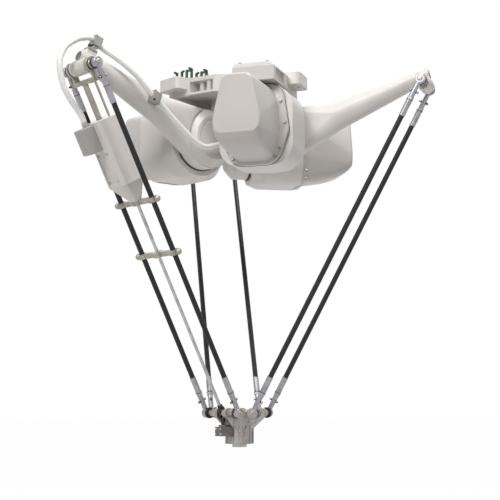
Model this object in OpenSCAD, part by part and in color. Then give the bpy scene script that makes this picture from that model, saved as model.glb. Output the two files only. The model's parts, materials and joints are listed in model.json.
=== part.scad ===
// Ceiling-mounted delta robot: three geared drives swing three upper arms, pairs of
// carbon rods carry a wrist platform, and a shaft between one pair turns its tool flange.
// Origin at the centre of the mounting face, +Z up, +Y over the rear arm.
// In each arm's own frame u points outward, t runs round anticlockwise, z is up.

/* [Mounting] */
// Radius of the circle through the mounting bolts
mount_r = 200; // [194:1:206]
// Diameter of each mounting bolt hole
mount_hole_d = 18; // [14:1:20]
// Thickness of the mounting ears
ear_t = 33; // [28:1:38]
// Height of the deck casting
deck_h = 50; // [46:1:52]

/* [Arms] */
// Distance from the robot axis to each shoulder axis
shoulder_r = 110; // [106:1:116]
// Depth of the shoulder axes below the mounting face
shoulder_drop = 166; // [164:1:174]
// Distance from shoulder axis to elbow axis
arm_len = 440; // [420:5:470]
// Tilt of the upper arms above the horizontal
arm_tilt = 17; // [12:0.5:20]
// Radius of the arm's hub
hub_r = 82; // [78:1:86]
// Thickness of the arm's hub
hub_t = 40; // [36:1:44]
// Height of the round cover on the hub
cap_t = 22; // [18:1:24]
// Radius of the elbow cross bar
bar_r = 14; // [12:0.5:15]

/* [Rods] */
// Distance between the ball centres of a rod
rod_len = 1000; // [950:10:1060]
// Half the distance between the two rods of a pair
rod_half = 68; // [66:0.5:72]
// Radius of the carbon tube
rod_r = 7; // [6:0.25:7.5]
// Radius of the joint balls
ball_r = 10; // [9:0.25:10.5]
// Outer radius of the rod-end eyes
eye_r = 14; // [13.5:0.25:15]
// Length of metal fitting at each rod end
fitting_len = 110; // [100:2:130]

/* [Drives] */
// Half width of the drive housing
housing_half = 103; // [98:1:104]
// Length of the drive housing
housing_len = 140; // [134:1:150]
// Thickness of the motor cover's flange
flange_t = 14; // [10:1:18]
// Length of the motor cover in front of its flange
cover_len = 145; // [135:1:155]
// Radius of the reduction gear's body
reducer_r = 66; // [60:1:70]
// Width of the gap that the shaft seal fills
seal_gap = 6; // [5:0.5:8]

/* [Wrist] */
// Distance from the robot axis to the platform's ball axes
wrist_r = 60; // [58:0.5:64]
// Height of the platform body below its ball axes
platform_h = 84; // [82:1:92]
// Corner radius of the six-sided platform body
platform_r = 40; // [38:0.5:44]
// Radius of the tool flange
flange_r = 20; // [19.5:0.25:22]
// Radius of the circle through the tool flange's holes
flange_pcd_r = 15.75; // [15.5:0.05:16]
// Radius of the tool flange's threaded holes
flange_hole_r = 2.1; // [1.6:0.1:2.5]
// Radius of the tool flange's pilot bore
pilot_r = 10; // [8:0.5:10.5]

/* [Wrist drive] */
// Radius of the drive shaft between the rods
shaft_r = 4.5; // [4:0.25:5]
// Distance from the elbow axis to the top of the wrist drive
unit_top = 140; // [132:1:148]
// Length of the straight part of the wrist drive's housing
unit_len = 175; // [165:1:185]
// Half width of the wrist drive's housing
unit_half = 38; // [36:0.5:40]
// Distance from the elbow axis to the upper rod clamp
clamp_1 = 376; // [370:1:390]
// Distance from the elbow axis to the lower rod clamp
clamp_2 = 525; // [500:1:540]

/* [Hose] */
// Radius of the hose to the wrist drive
hose_r = 7.5; // [6.5:0.25:7.75]

/* [Fits] */
// Running clearance round pins, balls and shafts
run_gap = 0.05; // [0.03:0.01:0.08]
// Gap between pieces that don't touch
free_gap = 0.3; // [0.25:0.05:0.5]

/* [Hidden] */
$fn = 48;
AZ = [210, 330, 90];

// Rest pose of the linkage
elbow_u = shoulder_r + arm_len * cos(arm_tilt);
elbow_z = -shoulder_drop + arm_len * sin(arm_tilt);
rod_lean = asin((elbow_u - wrist_r) / rod_len);
wrist_z = elbow_z - rod_len * cos(rod_lean);

// Stations along t, behind each shoulder
hub_back = -hub_t;
housing_front = hub_back - seal_gap;
housing_back = housing_front - housing_len;
flange_front = housing_back - flange_t;
cover_end = flange_front - cover_len;
reducer_len = 104;
reducer_back = housing_front - reducer_len;
motor_front = housing_back + 12;

// Housing outline, measured from the shoulder axis
corner_r = 58;
housing_top = shoulder_drop - deck_h - 6;
housing_low = -102;

// Rod fittings, measured from the ball centre
neck_r = 6.5;
lug_at = 38;
collar_at = 55;
ferrule_at = 63;
ferrule_r = rod_r + 1.2;
socket_depth = 36;
pin_r = 6;
eye_half = 7;
stop_at = rod_half - eye_half - 0.5;

// Wrist gearing, measured in the left arm's frame
gear_z = -50;
case_in = platform_r * cos(30) - 1;
case_half = 15;
case_u = wrist_r + case_half;
flange_shaft_r = 12;
gear_room_r = 24.8;
bearing_r = 20;
bar_end_r = 9;
cross_r = 6;

// ---------------------------------------------------------------- frames
module at_arm(k) {
    rotate([0, 0, AZ[k]]) children();
}

module at_shoulder(k) {
    at_arm(k) translate([shoulder_r, 0, -shoulder_drop]) children();
}

module at_upper(k) {
    at_shoulder(k) rotate([0, -arm_tilt, 0]) children();
}

// Local z runs up along the rods, whose balls lie at z = 0 and z = -rod_len
module at_rods(k) {
    at_arm(k) translate([elbow_u, 0, elbow_z]) rotate([0, rod_lean, 0]) children();
}

module at_wrist(k) {
    at_arm(k) translate([0, 0, wrist_z]) children();
}

// A cylinder from t = a to t = b
module drum(r, a, b, r_end = -1) {
    translate([0, a, 0]) rotate([-90, 0, 0]) cylinder(r1 = r, r2 = r_end < 0 ? r : r_end, h = b - a);
}

// A cylinder along u from a to b
module spindle(r, a, b, r_end = -1) {
    translate([a, 0, 0]) rotate([0, 90, 0]) cylinder(r1 = r, r2 = r_end < 0 ? r : r_end, h = b - a);
}

module both_sides() {
    for (side = [-1, 1]) scale([1, side, 1]) children();
}

// ---------------------------------------------------------------- base
deck_r = 12;
deck_inner_t = -112;
deck_u = mount_r - 28;
ear_in = deck_u - 22;
ear_mid_t = -64;
ear_u = sqrt(mount_r * mount_r - ear_mid_t * ear_mid_t);
ear_half_t = 42;
ear_reach = 19;
edge_t = 75;
edge_u = deck_u - 22;
pad_h = 3;
pad_in = ear_u - 24;

module deck_block(gap = 0) {
    hull() for (k = [0:2]) at_arm(k)
        for (p = [[deck_u, deck_inner_t], [deck_u, -21], [edge_u, edge_t]])
            translate([p[0] - deck_r, p[1] + (p[1] > 0 ? -deck_r : deck_r), -deck_h - gap])
                cylinder(r = deck_r + gap, h = deck_h + 2 * gap, $fn = 24);
}

module ear() {
    hull() for (u = [ear_in, ear_u + ear_reach - deck_r], t = [-1, 1])
        translate([u, ear_mid_t + t * (ear_half_t - deck_r), -ear_t])
            cylinder(r = deck_r, h = ear_t, $fn = 24);
}

// Lowers the deck's top, so that only the pads on the ears touch the ceiling frame
module above_deck() {
    difference() {
        translate([0, 0, -pad_h]) cylinder(r = 2 * mount_r, h = pad_h + 1);
        for (k = [0:2]) at_arm(k) translate([pad_in, ear_mid_t - 50, -pad_h - 1])
            cube([100, 100, pad_h + 3]);
    }
}

// Pocket in the deck's long edge, with two bolt bosses left standing in it
module edge_pocket() {
    difference() {
        translate([edge_u - 12, -12, 6 - deck_h]) cube([60, 74, deck_h - 20]);
        for (t = [12, 42]) translate([edge_u - 6, t, -deck_h]) cylinder(r = 8, h = deck_h - pad_h - 1);
    }
}

module deck() {
    color("gainsboro") difference() {
        union() {
            deck_block();
            for (k = [0:2]) at_arm(k) ear();
        }
        above_deck();
        for (k = [0:2]) at_arm(k) {
            translate([ear_u, ear_mid_t, -ear_t - 1]) cylinder(d = mount_hole_d, h = ear_t + 2);
            translate([ear_u, ear_mid_t, -deck_h - 1]) cylinder(r = 17, h = deck_h - ear_t + 1);
            edge_pocket();
        }
    }
}

box_u0 = shoulder_r - 48;
box_u1 = shoulder_r + 68;
box_t0 = -237;
box_len = deck_inner_t - box_t0;

// Box of terminals on the front drive, fitted to the deck's slanting edge
module terminal_box() {
    lip = 4;
    chamfer = 12;
    window = 70;
    color("gainsboro") difference() {
        at_arm(1) difference() {
            hull() {
                translate([box_u0, box_t0, -deck_h]) cube([box_u1 - box_u0, box_len, deck_h - chamfer]);
                translate([box_u0 + lip, box_t0 + lip, -deck_h])
                    cube([box_u1 - box_u0 - lip - chamfer, box_len - lip, deck_h]);
            }
            translate([box_u1 - 6, box_t0 + 18, 8 - deck_h]) cube([20, window, deck_h - 24]);
        }
        deck_block(free_gap);
    }
}

// Elbow push-in fitting on a stem
module push_fitting(turn, stem) {
    rotate([0, 0, turn]) {
        cylinder(r = 5.5, h = 7, $fn = 6);
        cylinder(r = 4, h = stem);
        translate([0, 0, stem - 1]) spindle(3.5, -2, 10);
        translate([0, 0, stem - 1]) spindle(2.8, 10, 14);
    }
}

// Row of fittings along the deck's left edge, with long stems behind the ear
module cable_fittings() {
    color("darkgreen") at_arm(0) for (i = [0:6])
        translate([edge_u - 4, 22 * i - 102, -pad_h]) push_fitting(20 + 55 * (i % 3), i < 4 ? 36 : 18);
}

module cap_screw() {
    cylinder(r = 4.5, h = 5);
}

// Points round a motor cover's flange, from the shoulder axis
flange_screws = [[-74, 66], [-86, 8], [-72, -62], [-59, -83], [59, -83], [72, -62], [86, 8], [74, 66]];
module housing_screws() {
    color("silver") {
        for (k = [0:2], p = flange_screws) at_shoulder(k)
            translate([p[0], flange_front, p[1]]) rotate([90, 0, 0]) cap_screw();
        for (k = [0:2], t = [-84, -4, 48]) at_arm(k) translate([edge_u - 25, t, -pad_h]) cap_screw();
        for (u = [box_u0 + 16, box_u1 - 24], t = [box_t0 + 16, deck_inner_t - 48])
            at_arm(1) translate([u, t, 0]) cap_screw();
    }
}

// ---------------------------------------------------------------- drives
saddle_half = 62;

module housing_outline() {
    half = housing_half - corner_r;
    hull() {
        for (x = [-half, half], z = [housing_low + corner_r, housing_top - corner_r])
            translate([x, 0, z]) drum(corner_r, housing_back, housing_front - 34);
        drum(hub_r + 16, housing_front - 20, housing_front);
    }
}

module drive_housing(k) {
    color("gainsboro") at_shoulder(k) difference() {
        union() {
            housing_outline();
            // saddle that bolts up under the deck
            translate([-saddle_half, housing_back + 6, 0])
                cube([2 * saddle_half, housing_len - 26, shoulder_drop - deck_h]);
        }
        drum(reducer_r + free_gap, reducer_back, housing_front + 1);
        drum(40, housing_back - 1, reducer_back + 1);
        drum(58 + free_gap, housing_back - 1, motor_front);
    }
}

module cover_ring(points, t0, t1) {
    for (p = points, side = [-1, 1]) translate([side * p[0], 0, p[1]]) drum(p[2], t0, t1, $fn = 32);
}

// Sections across the cover: half spacing, height and radius of each pair of corners
FLANGE = [[42, 72, 40], [44, -8, 50], [30, -54, 48]];
COVER_BASE = [[26, 68, 38], [30, -18, 40], [28, -60, 33]];
COVER_BACK = [[22, 82, 28], [30, -10, 38]];
COVER_BROW = [[21, 91, 22], [29, -6, 37]];
COVER_FACE = [[21, 90, 22], [29, -6, 36], [40, -22, 24]];
// The chin curves back under the face: the same values after the distance behind the face
COVER_CHIN = [
    [12, 40, -31, 24], [26, 39, -41, 24], [48, 37, -49, 25], [76, 34, -56, 26], [110, 31, -59, 29]
];

module motor_cover(k) {
    color("whitesmoke") at_shoulder(k) difference() {
        union() {
            hull() cover_ring(FLANGE, flange_front, housing_back);
            hull() {
                cover_ring(COVER_BASE, flange_front + 4, flange_front + 5);
                cover_ring(COVER_BACK, cover_end + 76, cover_end + 77);
                cover_ring(COVER_BROW, cover_end + 26, cover_end + 27);
                for (p = COVER_CHIN)
                    cover_ring([[p[1], p[2], p[3]]], cover_end + p[0], cover_end + p[0] + 1);
                cover_ring(COVER_FACE, cover_end + 5, cover_end + 6);
                cover_ring([for (p = COVER_FACE) [p[0], p[1], p[2] - 4]], cover_end, cover_end + 1);
            }
        }
        drum(50, cover_end + 30, housing_back + 1);
        drum(58 + free_gap, housing_back - 3, housing_back + 1);
    }
}

module servo_motor(k) {
    half = 42;
    color("dimgray") at_shoulder(k) {
        drum(58, housing_back - 2, motor_front);
        drum(11, motor_front, reducer_back + 20);
        intersection() {
            translate([-half, cover_end + 62, -half])
                cube([2 * half, housing_back - 2 - cover_end - 62, 2 * half]);
            drum(half * 1.16, cover_end + 60, housing_back);
        }
        drum(34, cover_end + 34, cover_end + 62);
    }
}

module reducer(k) {
    color("silver") at_shoulder(k) difference() {
        union() {
            drum(reducer_r, reducer_back, housing_front - 14);
            drum(reducer_r - 6, housing_front - 14, housing_front);
        }
        drum(40 + run_gap, housing_front - 24, housing_front + 1);
        drum(20, reducer_back - 1, reducer_back + 40);
    }
}

module shaft_seals() {
    color("black") for (k = [0:2]) at_shoulder(k) difference() {
        drum(hub_r - 1, housing_front, hub_back - free_gap);
        drum(hub_r - 12, housing_front - 1, hub_back);
    }
}

// ---------------------------------------------------------------- upper arms
tip_u = arm_len + 12;
tip_z = 23.5;

// Oval section of the tube: distance out, middle in t and z, half width in t and z
SECTIONS = [
    [0.42 * arm_len, -8, 4, 30, 41],
    [0.88 * arm_len, 0, 20, 24, 25],
    [tip_u, 0, tip_z, 21, 21]
];

module tube_section(s) {
    translate([s[0], s[1], s[2]]) rotate([0, 90, 0]) scale([s[4], s[3], 1])
        cylinder(r = 1, h = 0.5, $fn = 40);
}

clip_u = 229;
clip_z = 6;
clip_seat_t = 26;
horn_u = arm_len - 6;
horn_z = tip_z + 24;

module upper_arm(k) {
    color("gainsboro") at_upper(k) difference() {
        union() {
            drum(hub_r, hub_back, 0);
            hull() {
                drum(hub_r - 4, hub_back + 2, 0);
                tube_section(SECTIONS[0]);
            }
            for (i = [0, 1]) hull() {
                tube_section(SECTIONS[i]);
                tube_section(SECTIONS[i + 1]);
            }
            translate([arm_len, 0, 0]) drum(bar_r + 6, -33, 33);
            translate([0, 0, tip_z]) {
                spindle(17, tip_u, tip_u + 4);
                spindle(14, tip_u + 4, tip_u + 7);
            }
            // seats for the hose clips, on the arm that carries the hose
            if (k == 0) {
                translate([clip_u - 12, 8, clip_z - 12]) cube([24, clip_seat_t - 8, 24]);
                translate([horn_u - 14, -10, tip_z]) cube([28, 28, horn_z - tip_z]);
            }
        }
        drum(hub_r - 2 + free_gap, 0, cap_t + 30);
        translate([arm_len, 0, 0]) drum(bar_r + run_gap, -60, 60);
    }
}

module hub_cap(k) {
    rim = hub_r - 2;
    color("gainsboro") at_upper(k) rotate([-90, 0, 0]) rotate_extrude()
        polygon([[0, 0], [rim, 0], [rim, 3], [rim - 16, cap_t - 4], [rim - 20, cap_t],
            [50, cap_t], [49, cap_t - 1.5], [47, cap_t - 1.5], [46, cap_t], [0, cap_t]]);
}

module output_flange(k) {
    color("silver") at_upper(k) drum(40, housing_front - 20, hub_back);
}

module ball_pin(inner) {
    drum(pin_r, inner, rod_half);
    translate([0, rod_half, 0]) sphere(r = ball_r);
    drum(5, rod_half, rod_half + ball_r + 1.5);
    drum(ball_r + 4.5, stop_at - 6, stop_at);
}

module elbow_bar(k) {
    color("darkgray") at_upper(k) translate([arm_len, 0, 0]) {
        drum(bar_r, 12 - stop_at, stop_at - 12);
        both_sides() {
            drum(bar_r, stop_at - 12, stop_at - 6, r_end = bar_r - 4);
            ball_pin(stop_at - 6);
        }
    }
}

// ---------------------------------------------------------------- rods
module rods(k) {
    seat = fitting_len - socket_depth;
    color([0.12, 0.12, 0.13]) at_rods(k) for (side = [-1, 1])
        translate([0, side * rod_half, seat - rod_len]) cylinder(r = rod_r, h = rod_len - 2 * seat);
}

// Fitting that hangs down from a ball at the origin
module neck() {
    translate([0, 0, -collar_at]) cylinder(r1 = neck_r + 1, r2 = neck_r, h = collar_at - ball_r - 2);
    translate([0, 0, -lug_at]) {
        spindle(2, -11, 11);
        spindle(3, -12, -9);
        spindle(3, 9, 12);
    }
    translate([0, 0, -ferrule_at]) cylinder(r = neck_r + 2.5, h = ferrule_at - collar_at, $fn = 6);
    difference() {
        translate([0, 0, -fitting_len]) cylinder(r = ferrule_r, h = fitting_len - ferrule_at);
        translate([0, 0, -fitting_len - 1]) cylinder(r = rod_r + 0.1, h = socket_depth + 1);
    }
}

// Ring round a ball: bands of cone lie against the ball on the inside
module eye() {
    steps = 8;
    reach = asin(eye_half / (ball_r + run_gap));
    band = reach / steps;
    touch = (ball_r + run_gap) / cos(band);
    rotate([90, 0, 0]) rotate_extrude() polygon(concat(
        [for (i = [-steps:2:steps]) [touch * cos(i * band), i == -steps ? -eye_half : i == steps ? eye_half
            : touch * sin(i * band)]],
        [[eye_r - 1.5, eye_half], [eye_r, eye_half - 1.5], [eye_r, 1.5 - eye_half],
            [eye_r - 1.5, -eye_half]]));
}

module fitting(with_eye) {
    difference() {
        neck();
        drum(with_eye ? ball_r + 1.5 : eye_r + free_gap, -20, 20);
    }
    if (with_eye) eye();
}

module rod_ends(k) {
    color("silver") at_rods(k) for (side = [-1, 1]) translate([0, side * rod_half, 0]) {
        fitting(true);
        translate([0, 0, -rod_len]) mirror([0, 0, 1]) fitting(k == 0);
    }
}

// ---------------------------------------------------------------- hose
// Route of the hose in the left arm's frame: out of a housing and up the arm, then round the elbow,
// where its end swings with the lean of the rods that carry the wrist drive
HOSE_ARM = [
    [95, 47, -185], [104, 38, -187], [128, 36, -194], [156, 36, -200], [184, 36, -192],
    [208, 37, -180], [260, 38, -144], [316, 38, -100], [338, 38, -84], [388, 36, -40]
];
HOSE_ELBOW = [
    [-91, 24, 34], [-53, 10, 58], [-24, 7, 78], [-1, 0, 77], [22, 0, 67], [49, 0, 46], [63, 0, 20],
    [67, 0, -7], [62, 0, -37], [49, 0, -68], [25, 0, -99], [2.1, 0, -123.2], [-8.3, 0, -142.6]
];
hose_lean = 28.08456;
function swung(p, a) = [p[0] * cos(a) + p[2] * sin(a), p[1], p[2] * cos(a) - p[0] * sin(a)];
ROUTE = concat(HOSE_ARM, [for (i = [0:len(HOSE_ELBOW) - 1])
    swung(HOSE_ELBOW[i], (rod_lean - hose_lean) * min(max((i - 3) / 6, 0), 1)) + [elbow_u, 0, elbow_z]]);
clip_1 = 7;
clip_2 = 12;

// The four points that shape the stretch after point i, then the place and heading on it
function near(i) = [for (j = [-1:2]) ROUTE[min(max(i + j, 0), len(ROUTE) - 1)]];
function on_route(p, s) = 0.5 * (2 * p[1] + (p[2] - p[0]) * s
    + (2 * p[0] - 5 * p[1] + 4 * p[2] - p[3]) * s * s + (3 * p[1] - p[0] - 3 * p[2] + p[3]) * s * s * s);
function slope(p, s) = p[2] - p[0] + 2 * (2 * p[0] - 5 * p[1] + 4 * p[2] - p[3]) * s
    + 3 * (3 * p[1] - p[0] - 3 * p[2] + p[3]) * s * s;
function heading(i, s) = slope(near(i), s) / norm(slope(near(i), s));

// A length of the hose, which starts a hair after the end of the length before it
module hose(from, to, r = hose_r) {
    sides = 8;
    first = 0.001;
    last = 2 * (to - from);
    at = [for (n = [0:last]) n == last ? [to - 1, 1] : [from + floor(n / 2), max(first, (n % 2) / 2)]];
    rings = [for (p = at)
        let (c = on_route(near(p[0]), p[1]),
             h = heading(p[0], p[1]),
             x = cross([0, 1, 0], h) / norm(cross([0, 1, 0], h)),
             y = cross(h, x))
        for (j = [0:sides - 1]) c + r * (x * cos(360 * j / sides) + y * sin(360 * j / sides))];
    walls = [for (i = [0:last - 1], j = [0:sides - 1])
        let (k = (j + 1) % sides)
        [i * sides + j, (i + 1) * sides + j, (i + 1) * sides + k, i * sides + k]];
    ends = [[for (j = [0:sides - 1]) j], [for (j = [sides - 1:-1:0]) last * sides + j]];
    polyhedron(rings, concat(walls, ends));
}

module hose_shoulder() {
    color("white") at_arm(0) hose(0, clip_1);
}

module hose_arm() {
    color("white") at_arm(0) hose(clip_1, clip_2);
}

module hose_elbow() {
    color("white") at_arm(0) hose(clip_2, len(ROUTE) - 1);
}

// Gland in the side of the front drive's housing, which faces the left arm's hub
gland_t = -106;
gland_z = -185;
module hose_gland() {
    wall = shoulder_r - housing_half;
    color("silver") at_arm(1) translate([0, gland_t, gland_z]) {
        spindle(11, wall - 7, wall, $fn = 6);
        spindle(8.5, wall - 14, wall - 7);
    }
}

module hose_clamps() {
    horn_t = -4;
    horn_w = 24;
    color("silver") difference() {
        at_upper(0) {
            translate([clip_u - 13, clip_seat_t, clip_z - 14]) cube([26, 22, 31]);
            translate([horn_u - 14, horn_t, horn_z]) cube([28, horn_w, 4]);
            translate([0, horn_t + horn_w - 3, 0]) rotate([90, 0, 0]) linear_extrude(horn_w - 6)
                polygon([[horn_u - 2, horn_z + 3], [horn_u + 8, horn_z + 3], [horn_u - 2, horn_z + 22],
                    [horn_u - 18, horn_z + 22]]);
            translate([horn_u - 20, horn_t, horn_z + 17]) cube([24, horn_w, 27]);
        }
        at_arm(0) hose(clip_1 - 1, clip_2 + 1, hose_r + free_gap);
    }
}

// ---------------------------------------------------------------- wrist drive
unit_off = 8;
unit_end = unit_top + unit_len;
clamp_half_h = 7;
tip_end = clamp_1 - clamp_half_h;
motor_r = 27;
motor_at = unit_top + 12;
wrist_motor_len = 110;
gearbox_len = 16;
shaft_top = motor_at + wrist_motor_len + gearbox_len + 8;
connector_at = unit_top + 5;
connector = [42, 34, 65];

module hanger() {
    lug_t = stop_at - 17;
    color("silver") at_rods(0) {
        difference() {
            both_sides() {
                drum(bar_r + 6, lug_t - 4, lug_t + 4);
                translate([-6, lug_t - 4, -40]) cube([18, 8, 32]);
            }
            drum(bar_r + run_gap, -80, 80);
        }
        translate([-6, -lug_t - 4, -44]) cube([20, 2 * lug_t + 8, 12]);
        translate([8, -12, -unit_top]) cube([5, 20, unit_top - 40]);
        translate([-12, 14, 0]) {
            translate([0, 0, -unit_top]) cube([5, 5, unit_top - 40]);
            translate([0, -6, -46]) cube([12, 11, 6]);
        }
    }
}

module wrist_housing() {
    r = 14;
    panel_depth = 3;
    color("gainsboro") at_rods(0) difference() {
        union() {
            hull() for (x = [-1, 1], y = [-1, 1])
                translate([unit_off + x * (unit_half - r), y * (unit_half - r), -unit_end])
                    cylinder(r = r, h = unit_len, $fn = 24);
            hull() {
                for (x = [-1, 1], y = [-1, 1])
                    translate([unit_off + x * (unit_half - r), y * (unit_half - r), -unit_end - 1])
                        cylinder(r = r, h = 1, $fn = 24);
                translate([0, 0, -tip_end]) cylinder(r = 16, h = 14, $fn = 32);
            }
        }
        // recessed panel below the connector box
        translate([unit_off + unit_half - panel_depth, -24, 10 - unit_end])
            cube([panel_depth + 1, 48, unit_end - connector_at - connector[2] - 22]);
        translate([0, 0, -unit_end - 12]) cylinder(r = motor_r + free_gap, h = unit_len);
        translate([0, 0, -tip_end - 1]) cylinder(r = 10, h = tip_end - unit_end);
    }
}

module wrist_motor() {
    low = motor_at + wrist_motor_len;
    color("dimgray") at_rods(0) {
        translate([0, 0, -low]) cylinder(r = motor_r, h = wrist_motor_len);
        translate([0, 0, -low - gearbox_len]) cylinder(r = 18, h = gearbox_len);
    }
}

module connector_box() {
    lip = 2;
    color("darkgray") at_rods(0)
        translate([unit_off + unit_half, -20, -connector_at - connector[2]]) hull() {
        cube(connector);
        translate([0, lip, -lip]) cube(connector + lip * [-2, -2, 2]);
    }
}

module hose_fitting() {
    color("silver") at_rods(0) translate([unit_off + unit_half + 14, 0, -connector_at]) {
        translate([0, 0, 2]) cylinder(r = 9.5, h = 7, $fn = 6);
        translate([0, 0, 9]) cylinder(r = 8, h = 6);
    }
}

module rod_clamps() {
    half_h = clamp_half_h;
    color("silver") at_rods(0) for (at = [clamp_1, clamp_2]) translate([0, 0, -at]) difference() {
        union() {
            translate([-5, -rod_half, -half_h]) cube([10, 2 * rod_half, 2 * half_h]);
            translate([0, 0, -half_h]) cylinder(r = 13, h = 2 * half_h);
            both_sides() {
                translate([0, rod_half, -half_h]) cylinder(r = rod_r + 5, h = 2 * half_h);
                drum(5, rod_half + rod_r + 3, rod_half + 20);
                translate([0, rod_half + 20, 0]) sphere(r = 8.5, $fn = 32);
            }
        }
        both_sides() translate([0, rod_half, -half_h - 1]) cylinder(r = rod_r + 0.1, h = 2 * half_h + 2);
        translate([0, 0, -half_h - 1]) cylinder(r = shaft_r + run_gap, h = 2 * half_h + 2);
    }
}

module drive_shaft() {
    color("silver") at_rods(0) {
        translate([0, 0, 18 - rod_len]) cylinder(r = shaft_r, h = rod_len - 18 - shaft_top);
        translate([0, 0, -shaft_top - 12]) cylinder(r = 12, h = 14);
    }
}

// Half of a universal joint: a fork whose ears stand on the given line
module fork(ear_at, stem) {
    for (side = [-1, 1]) rotate([0, 0, ear_at]) translate([side * 8.5, 0, 0]) {
        translate([-1.5, -3.5, -1]) cube([3, 7, 15]);
        spindle(4, -1.5, 1.5);
    }
    translate([0, 0, 13]) cylinder(r = 10, h = 3);
    translate([0, 0, 16]) cylinder(r = stem, h = 8);
}

module shaft_coupling() {
    color("dimgray") at_rods(0) translate([0, 0, -rod_len]) difference() {
        union() {
            fork(0, shaft_r + 3);
            for (side = [-1, 1]) scale([side, 1, 1]) spindle(2, cross_r + free_gap, 7.5);
        }
        translate([0, 0, 18]) cylinder(r = shaft_r + 0.1, h = 10);
    }
}

// ---------------------------------------------------------------- platform
module hexagon(r, z0, z1) {
    translate([0, 0, z0]) cylinder(r = r, h = z1 - z0, $fn = 6);
}

module platform() {
    arm_half = 26;
    boss_r = 13;
    color("gainsboro") at_wrist(2) rotate([0, 0, -AZ[2]]) difference() {
        union() {
            hexagon(platform_r, -platform_h, -30);
            hexagon(platform_r + 3, -34, -8);
            for (k = [0:2]) at_arm(k) {
                hull() {
                    translate([wrist_r, 0, 0]) drum(boss_r, -arm_half, arm_half, $fn = 32);
                    translate([16, -16, -46]) cube([16, 32, 36]);
                }
                // ribs down the faces of the body
                for (t = [-13, 13]) translate([case_in - 4, t - 2, 2 - platform_h])
                    cube([7, 4, platform_h - 30]);
                rotate([0, 0, 60]) both_sides() {
                    translate([case_in - 4, 4, 3 - platform_h]) cube([8, 3, platform_h - 32]);
                    translate([case_in - 4, 5, -51]) rotate([-27, 0, 0]) cube([10.5, 3, 34]);
                }
            }
        }
        for (k = [0:2]) at_arm(k) {
            translate([wrist_r, 0, 0]) drum(bar_end_r + 0.1, -60, 60);
        }
        at_arm(0) translate([case_in, -case_half - 1, gear_z - 13]) cube([60, 2 * case_half + 2, 27]);
        // clear of the universal joint
        at_arm(0) translate([wrist_r, 0, -38]) cylinder(r = 16, h = 60);
        at_arm(0) translate([0, 0, gear_z]) spindle(6, 0, 60);
        translate([0, 0, gear_z - 18]) cylinder(r = gear_room_r, h = 34);
        translate([0, 0, -platform_h - 1]) cylinder(r = bearing_r + 0.1, h = 13);
        translate([0, 0, -platform_h]) cylinder(r = 16, h = platform_h + gear_z);
    }
}

// Cross bars with the balls that the rods hang on; the left one leaves room for the joint
module ball_bars() {
    color("darkgray") for (k = [0:2]) at_wrist(k) translate([wrist_r, 0, 0]) difference() {
        union() {
            drum(bar_end_r, 6 - stop_at, stop_at - 6);
            both_sides() ball_pin(stop_at - 6);
        }
        if (k == 0) translate([0, 0, -20]) cylinder(r = 16, h = 40);
    }
}

// Eyes of the rods that the platform parts from when the linkage is opened
module joint_eyes() {
    color("silver") for (k = [1, 2], side = [-1, 1]) at_wrist(k)
        translate([wrist_r, side * rod_half, 0]) eye();
}

module gear_case() {
    color("dimgray") at_wrist(0) difference() {
        union() {
            translate([case_in, -case_half, gear_z - 12]) cube([case_u - case_in, 2 * case_half, 25]);
            translate([wrist_r, 0, gear_z + 13]) cylinder(r = 11, h = 5);
        }
        translate([wrist_r, 0, gear_z - 9]) cylinder(r = 11, h = 20.3);
        translate([wrist_r, 0, gear_z]) cylinder(r = shaft_r + run_gap, h = 40);
        translate([0, 0, gear_z]) spindle(11, case_in + 10, wrist_r);
        translate([0, 0, gear_z]) spindle(shaft_r + run_gap, 0, wrist_r);
    }
}

// Toothed bevel gear whose pitch cone has its tip at the origin
module bevel(big_r, small_r, slope, teeth) {
    big_h = big_r * slope;
    small_h = small_r * slope;
    back_off = 0.4;
    translate([0, 0, back_off]) difference() {
        union() {
            translate([0, 0, small_h]) cylinder(r1 = small_r, r2 = big_r, h = big_h - small_h);
            translate([0, 0, big_h]) cylinder(r = big_r, h = 1.5);
        }
        for (i = [0:teeth - 1]) rotate([0, 0, 360 * i / teeth])
            translate([small_r, 0, small_h - 1]) rotate([0, atan(1 / slope), 0])
                translate([-0.5, -0.6, 0]) cube([1.2, 1.2, 2 * (big_r - small_r) + 4]);
    }
}

module input_shaft() {
    color("silver") at_wrist(0) translate([wrist_r, 0, 0]) {
        mirror([0, 0, 1]) fork(90, shaft_r + 2);
        translate([0, 0, gear_z + 8]) cylinder(r = shaft_r, h = -gear_z - 24);
        translate([0, 0, gear_z]) bevel(9, 5.5, 1, 12);
        sphere(r = cross_r);
        rotate([0, 0, 90]) spindle(2, -7.5, 7.5);
    }
}

module cross_shaft() {
    slope = 2;
    color("silver") at_wrist(0) translate([0, 0, gear_z]) {
        translate([wrist_r, 0, 0]) rotate([0, -90, 0]) bevel(9, 5.5, 1, 12);
        rotate([0, 90, 0]) bevel(10, 7.5, slope, 12);
        spindle(shaft_r, 20, wrist_r - 9);
    }
}

module flange_gear() {
    color("silver") at_wrist(2) translate([0, 0, gear_z]) mirror([0, 0, 1]) difference() {
        union() {
            bevel(21, 15.5, 0.5, 24);
            translate([0, 0, 12]) cylinder(r = 15, h = 4);
        }
        cylinder(r = 8.1, h = 40);
    }
}

module flange_bearing() {
    color("silver") at_wrist(2) translate([0, 0, -platform_h]) difference() {
        cylinder(r = bearing_r, h = 12);
        translate([0, 0, -1]) cylinder(r = flange_shaft_r + run_gap, h = 14);
    }
}

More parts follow.
